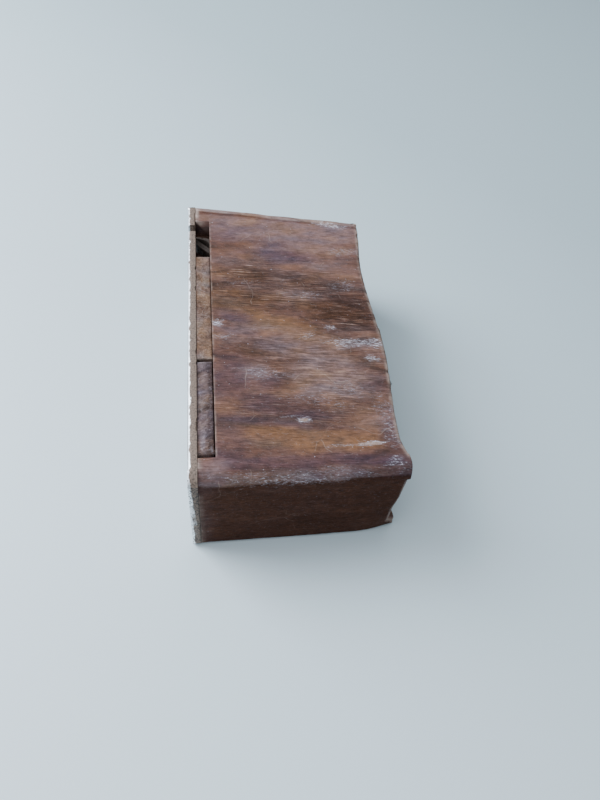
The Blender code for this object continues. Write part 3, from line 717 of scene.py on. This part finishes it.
    rough = look["dull"]
    for value, name in ((bloom, "bloomDull"), (valleys, "streakDull")):
        rough = add(tree, "Math", {0: value, 1: woodShares[name], 2: rough}, 0, operation="MULTIPLY_ADD")
    tree.links.new(rough, shader.inputs["Roughness"])
    gloss = add(tree, "MapRange", {0: stain["soot"], **woodLevels["gloss"]}, 0)
    tree.links.new(gloss, shader.inputs["Specular IOR Level"])
    relief = add(tree, "Math", {0: woodShares["relief"], 1: stain["fibre"]}, 0, operation="ADD")
    relief = add(tree, "Math", {0: streaks, 1: relief}, 0, operation="MULTIPLY")
    relief = add(tree, "Math", {
        0: poreLines, 1: woodShares["poreRelief"], 2: relief,
    }, 0, operation="MULTIPLY_ADD")
    bump = add(tree, "Bump", {"Height": relief, "Strength": look["bump"], "Distance": 0.0003}, "Normal")
    tree.links.new(bump, shader.inputs["Normal"])
    return made


def makeStock():
    shape = latticeBlock(stock["cells"])
    for vert in shape.verts:
        vert.co = place(*stockPoint(vert.co))
    bmesh.ops.recalc_face_normals(shape, faces=shape.faces)
    piece = newPiece("woodenStock", shape)
    within(piece, "stock")
    paint(piece, stockValues)
    finishPiece(piece, "stock", makeWood(woods["stock"]))


makeStock()

steels = {
    # sole plate: bright where it is rubbed, brown with handling elsewhere
    "sole": {
        "name": "rubbedSoleSteel",
        "bright": "#fdfdfe", "grey": "#96989b", "patina": "#917b6c", "pit": "#221d1b",
        "pitMm": 0.7, "cloudMm": 7.0, "scratchMm": (30.0, 0.25), "rough": 0.42, "dull": 0.6, "pits": 0.37,
    },
    # iron and cap iron: rust brown and blue-black, bright only at the ground edge
    "iron": {
        "name": "rustDulledToolSteel",
        "bright": "#a9aaa8", "grey": "#8a8b8a", "patina": "#44372f", "pit": "#241a15",
        "pitMm": 0.9, "cloudMm": 9.0, "scratchMm": (22.0, 0.3), "rough": 0.34, "dull": 0.58, "pits": 0.42,
    },
    # slotted screws: dull grey-brown, with a little shine where the driver slips
    "screw": {
        "name": "oldScrewSteel",
        "bright": "#a5a39f", "grey": "#8a8b8a", "patina": "#574a42", "pit": "#2a211c",
        "pitMm": 0.5, "cloudMm": 3.0, "scratchMm": (4.0, 0.2), "rough": 0.36, "dull": 0.55, "pits": 0.4,
    },
    # brass gone brown, yellow only where it is rubbed
    "brass": {
        "name": "tarnishedBrass",
        "bright": "#c9a862", "grey": "#9a8250", "patina": "#6e5630", "pit": "#37291a",
        "pitMm": 0.6, "cloudMm": 4.0, "scratchMm": (3.0, 0.2), "rough": 0.3, "dull": 0.5, "pits": 0.38,
    },
}

# levels as for the wood, and how far each noise reaches
steelLevels = {
    "bright": {1: 0.3, 2: 0.72}, "grime": {1: 0.38, 2: 0.62}, "scratch": {1: 0.6, 2: 0.7, 3: 0.0, 4: 0.3},
    "metal": {3: 0.2, 4: 1.0},
}
steelShares = {
    "ragged": 1.1, "grime": 0.55, "speckle": 0.1, "pitSlope": 0.04, "scratchDull": 0.15, "groove": 0.3,
}


def makeSteel(look):
    # rubbed bright or left dull as the attribute "marks" says, with fine scratches and small pits
    made, tree, shader = startMaterial(look["name"])
    where = add(tree, "TexCoord", take="Object")
    marks = add(tree, "Attribute", take="Color", attribute_name="marks")
    parts = add(tree, "SeparateColor", {"Color": marks})
    rubbed, speckled, grey = (parts.outputs[i] for i in range(3))
    pits = add(tree, "TexNoise", {
        "Vector": where, "Scale": 1000 / look["pitMm"], "Detail": 4.0, "Roughness": 0.75,
    }, "Fac")
    cloud = add(tree, "TexNoise", {"Vector": where, "Scale": 1000 / look["cloudMm"], "Detail": 6.0}, "Fac")
    along, across = look["scratchMm"]
    lines = add(tree, "Mapping", {
        "Vector": where, "Scale": (1000 / across, 1000 / along, 1000 / across),
    }, "Vector")
    scratch = add(tree, "TexNoise", {"Vector": lines, "Scale": 1.0, "Detail": 2.0}, "Fac")

    # bright where it is rubbed, grimy elsewhere, with a ragged border between them
    uneven = add(tree, "Math", {0: cloud, 1: 0.5}, 0, operation="SUBTRACT")
    level = add(tree, "Math", {0: uneven, 1: steelShares["ragged"], 2: rubbed}, 0, operation="MULTIPLY_ADD")
    bright = add(tree, "MapRange", {0: level, **steelLevels["bright"]}, 0)
    shine = lay(tree, toLinear(look["bright"]), toLinear(look["grey"]), grey)
    patina, pit = toLinear(look["patina"]), toLinear(look["pit"])
    grime = lay(tree, pit, patina, add(tree, "MapRange", {0: pits, **steelLevels["grime"]}, 0))
    grime = lay(tree, patina, grime, steelShares["grime"])
    colour = lay(tree, grime, shine, bright)
    fine = add(tree, "MapRange", {0: scratch, **steelLevels["scratch"]}, 0)
    colour = lay(tree, colour, shine, fine, bright)

    # pits, more of them where it is speckled
    speckle = add(tree, "Math", {0: speckled, 1: steelShares["speckle"]}, 0, operation="MULTIPLY")
    sunk = add(tree, "Math", {0: pits, 1: speckle}, 0, operation="SUBTRACT")
    foot = look["pits"] - steelShares["pitSlope"]
    dots = add(tree, "MapRange", {0: sunk, 1: foot, 2: look["pits"], 3: 1.0, 4: 0.0}, 0)
    colour = lay(tree, colour, pit, dots)
    tree.links.new(colour, shader.inputs["Base Color"])
    metal = add(tree, "MapRange", {0: bright, **steelLevels["metal"]}, 0)
    tree.links.new(metal, shader.inputs["Metallic"])
    rough = add(tree, "MapRange", {0: bright, 3: look["dull"], 4: look["rough"]}, 0)
    rough = add(tree, "Math", {
        0: scratch, 1: steelShares["scratchDull"], 2: rough,
    }, 0, operation="MULTIPLY_ADD")
    tree.links.new(rough, shader.inputs["Roughness"])
    height = add(tree, "Math", {0: scratch, 1: steelShares["groove"]}, 0, operation="MULTIPLY")
    height = add(tree, "Math", {0: height, 1: dots}, 0, operation="SUBTRACT")
    bump = add(tree, "Bump", {"Height": height, "Strength": 0.4, "Distance": 0.0001}, "Normal")
    tree.links.new(bump, shader.inputs["Normal"])
    return made


def boxPiece(name, box, plainRadius, inset):
    # a lattice block between two corners in mm, with rounded, slightly uneven edges
    low, high = box["low"], box["high"]
    shape = latticeBlock(box["cells"])
    for vert in shape.verts:
        share = [crowd(c + 0.5, 0.4) for c in vert.co]
        spot = Vector([a + (b - a) * t for a, b, t in zip(low, high, share)])
        gap = {
            "sole": spot.x - low[0], "top": high[0] - spot.x, "heel": spot.y - low[1],
            "toe": high[1] - spot.y, "lower": spot.z - low[2], "upper": high[2] - spot.z,
        }
        bend = box["wave"] * (0.5 + 0.7 * noise.fractal(spot * 0.16, 1.0, 2.0, 3))
        vert.co = place(*settle(spot, gap, box["radii"], plainRadius, inset + max(bend, 0.0)))
    bmesh.ops.recalc_face_normals(shape, faces=shape.faces)
    return newPiece(name, shape)


sole = {
    "low": (0.0, -1.7, 0.0), "high": (3.2, 154.4, 49.0), "cells": (8, 190, 50), "wave": 0.05,
    # the outer arrises are worn round, the inner ones are still square
    "radii": {
        ("sole", "upper"): 1.5, ("sole", "heel"): 1.7, ("sole", "lower"): 1.2, ("sole", "toe"): 2.6,
        ("upper", "toe"): 3.2, ("upper", "heel"): 7.5, ("lower", "heel"): 2.6,
    },
    "rubbedTo": 0.75,       # height off the sole up to which the rim is rubbed bright, in mm
}


def soleValues(spot, normal):
    # bright along the rim, scoured on the face, pitted at the heel and round the mouth
    s, y, z = spot
    wander = noise.fractal(Vector((s * 0.3, y * 0.5, z * 0.3)), 0.7, 2.0, 3)
    rubbed = 1 - smoothStep(sole["rubbedTo"] - 0.3, sole["rubbedTo"] + 0.4, s + 0.5 * wander)
    scoured = 0.62 + 0.5 * noise.fractal(Vector((y * 0.02, z * 0.07, 3.0)), 1.0, 2.0, 3)
    face = smoothStep(0.75, 0.98, -normal.x)
    rubbed += (scoured - rubbed) * face
    speckled = 1 - smoothStep(4.0, 30.0, y) if z < 47.0 else 0.25
    speckled = max(speckled, math.exp(-((y - 128.0) / 9.0) ** 2) * 0.8)
    return (0.0, 0.0, 0.0, 0.0), (rubbed, speckled, 0.75 * face, 0.0)


def makeSole():
    piece = boxPiece("soleSteel", sole, 0.15, 0.02)
    within(piece, "sole_plate")
    # bedded against the wood, with no daylight between them
    for vert in piece.data.vertices:
        if toPlane(vert.co).x > 3.1:
            vert.co.x = soleX + 3.45 * mm
    paint(piece, soleValues)
    finishPiece(piece, "sole_plate", makeSteel(steels["sole"]))


makeSole()


def slipValues(slip):
    def values(spot, normal):
        # darker towards the shoulder, a broken and bruised end, pale where it is rubbed
        s, y, z = spot
        low, high = slip["low"], slip["high"]
        drift = noise.fractal(Vector((s * 0.2, y * 0.1, z * 0.2)), 1.0, 2.0, 3)
        near = min(abs(y - low[1]), abs(y - high[1]))
        inner = smoothStep(slip["grimeFrom"], slip["grimeFrom"] + 2.2, s + 1.6 * drift) * slip["grime"]
        broken = (1 - smoothStep(3.0, 10.0, y - low[1] + 6.0 * drift)) * slip["broken"]
        edge = 0.5 * (1 - smoothStep(0.2, 2.0, near)) + 0.3 * smoothStep(0.0, 0.5, drift)
        worn = max(0.9 * broken, 0.5 * smoothStep(0.1, 0.5, -drift))
        return (
            (0.6 * smoothStep(0.0, 0.4, drift), worn, 0.0, inner),
            (max(0.6 * broken * smoothStep(0.1, 0.3, drift), 0.15), 0.35, 0.7 * edge * (1 - inner), 0.0),
        )
    return values


slips = {
    "front": {
        "low": (3.5, 56.2, 40.4), "high": (9.94, 117.2, 48.6), "cells": (12, 110, 10),
        "radii": {("top", "upper"): 0.7, ("upper", "toe"): 0.9, ("upper", "heel"): 0.6, ("sole", "upper"): 0.3},
        "wave": 0.06, "grime": 0.25, "grimeFrom": 7.6, "broken": 0.0,
    },
    "rear": {
        "low": (3.5, 12.2, 40.4), "high": (9.8, 55.4, 48.2), "cells": (12, 80, 10),
        "radii": {("top", "upper"): 0.7, ("upper", "heel"): 1.8, ("sole", "upper"): 0.3, ("top", "heel"): 1.2},
        "wave": 0.16, "grime": 0.6, "grimeFrom": 5.8, "broken": 1.0,
    },
}


def makeSlips():
    for name, node in (("front", "front_slip"), ("rear", "rear_slip")):
        slip = slips[name]
        piece = boxPiece(name + "Slip", slip, 0.4, 0.03)
        paint(piece, slipValues(slip))
        finishPiece(piece, node, makeWood(woods[name]))


makeSlips()


def softCopy(name, node, width, steps=2, fine=0):
    # the CAD shape with its edges broken, on a finer mesh for its attributes
    piece = cadCopy(node)
    piece.name = name
    if fine:
        shape = bmesh.new()
        shape.from_mesh(piece.data)
        bmesh.ops.triangulate(shape, faces=[face for face in shape.faces if len(face.verts) > 4])
        shape.to_mesh(piece.data)
        shape.free()
    bevel = piece.modifiers.new("edges", "BEVEL")
    bevel.width = width * mm
    bevel.segments = steps
    bevel.limit_method = "ANGLE"
    bevel.angle_limit = math.radians(35)
    bevel.harden_normals = False
    applyModifiers(piece)
    if fine:
        refine(piece, fine)
    return piece


def refine(piece, longest):
    # splits edges until none is longer than this many mm
    shape = bmesh.new()
    shape.from_mesh(piece.data)
    bmesh.ops.triangulate(shape, faces=shape.faces)
    for _ in range(7):
        split = [edge for edge in shape.edges if edge.calc_length() > longest * mm]
        if not split:
            break
        bmesh.ops.subdivide_edges(shape, edges=split, cuts=1)
        bmesh.ops.triangulate(shape, faces=[face for face in shape.faces if len(face.verts) > 3])
    shape.to_mesh(piece.data)
    shape.free()


# in mm: where the bed meets the sole, from the heel, and how far up it the iron is struck
bed = {"foot": 134.0, "struck": 114.0}


def bedLength(spot):
    # how far up the bed a point is, from where the iron meets the sole
    return (spot.x + bed["foot"] - spot.y) * math.sqrt(0.5)


def ironValues(spot, normal):
    # bright at the ground edge and where the end has been struck, but dull and dark near the upper cheek,
    # painted shade where it lies in the side pocket
    u = bedLength(spot)
    wander = 6.0 * noise.fractal(spot * 0.08, 1.0, 2.0, 3)
    ground = (1 - smoothStep(3.0, 8.0, u + 0.5 * wander)) * (1 - smoothStep(34.0, 40.0, spot.z))
    struck = smoothStep(bed["struck"] - 4, bed["struck"] + 4, u + 0.5 * wander)
    side = smoothStep(0.6, 0.9, abs(normal.z))
    return (0.0, 0.0, 0.0, 0.0), (max(0.8 * ground, 0.6 * struck, 0.12) * (1 - side), 0.5, 0.0, 0.0)


def capValues(spot, normal):
    # polished by shavings over the hump, and dull and dark near the upper cheek, painted shade where it lies in
    # the side pocket
    u = bedLength(spot)
    wander = 5.0 * noise.fractal(spot * 0.09 + Vector((9, 0, 0)), 1.0, 2.0, 3)
    hump = math.exp(-((u - 12.0 + wander) / 9.0) ** 2)
    outsidePocketShade = 1 - smoothStep(34.0, 40.0, spot.z)
    return (0.0, 0.0, 0.0, 0.0), (max(0.8 * hump, 0.18) * outsidePocketShade, 0.4, 0.0, 0.0)


def rubbedValues(spot, normal):
    # rubbed in places only, as small fittings are
    return (0.0, 0.0, 0.0, 0.0), (0.45 + 0.3 * noise.noise(spot * 0.4), 0.3, 0.0, 0.0)


def wedgeValues(spot, normal):
    # bruised at the struck end
    u = bedLength(spot)
    drift = noise.fractal(spot * 0.07, 1.0, 2.0, 3)
    struck = smoothStep(100.0, 112.0, u)
    return (
        (0.5 * smoothStep(0.0, 0.4, drift), 0.6 * smoothStep(0.0, 0.4, -drift), 0.0, 0.35 * struck),
        (0.3 * struck, 0.4, 0.3 * struck, 0.0),
    )


def buttonValues(spot, normal):
    # a dark bruise in the middle, a worn edge round it
    away = math.hypot(spot.y - 121.0, spot.z - 24.5)
    bruise = 1 - smoothStep(1.0, 5.0, away + 2.0 * noise.noise(spot * 0.5))
    return (0.2, 0.2, 0.0, 0.6 * bruise), (0.3, 0.5, smoothStep(5.2, 6.6, away), 0.0)


def makeFittings():
    steel, screw, brass = makeSteel(steels["iron"]), makeSteel(steels["screw"]), makeSteel(steels["brass"])
    plan = [
        ("cuttingIron", "iron", 0.22, 2.5, steel, ironValues),
        ("capIron", "cap_iron", 0.25, 2.5, steel, capValues),
        ("capNut", "cap_nut", 0.25, 1.2, brass, rubbedValues),
        ("capScrew", "cap_screw", 0.25, 1.2, screw, rubbedValues),
        ("hardwoodWedge", "wedge", 0.7, 2.0, makeWood(woods["wedge"]), wedgeValues),
        ("strikeButton", "strike_button", 0.5, 1.0, makeWood(woods["button"]), buttonValues),
    ]
    for name, node, width, fine, material, values in plan:
        piece = softCopy(name, node, width, 3, fine)
        paint(piece, values)
        finishPiece(piece, node, material)
    for node in frame["nodes"]:
        if node.startswith("sole_screw_") or node.startswith("slip_pin_"):
            words = node.split("_")
            name = words[0] + words[1].capitalize() + words[2]
            piece = softCopy(name, node, 0.12, 2)
            paint(piece, rubbedValues)
            finishPiece(piece, node, screw if words[0] == "sole" else brass)


makeFittings()
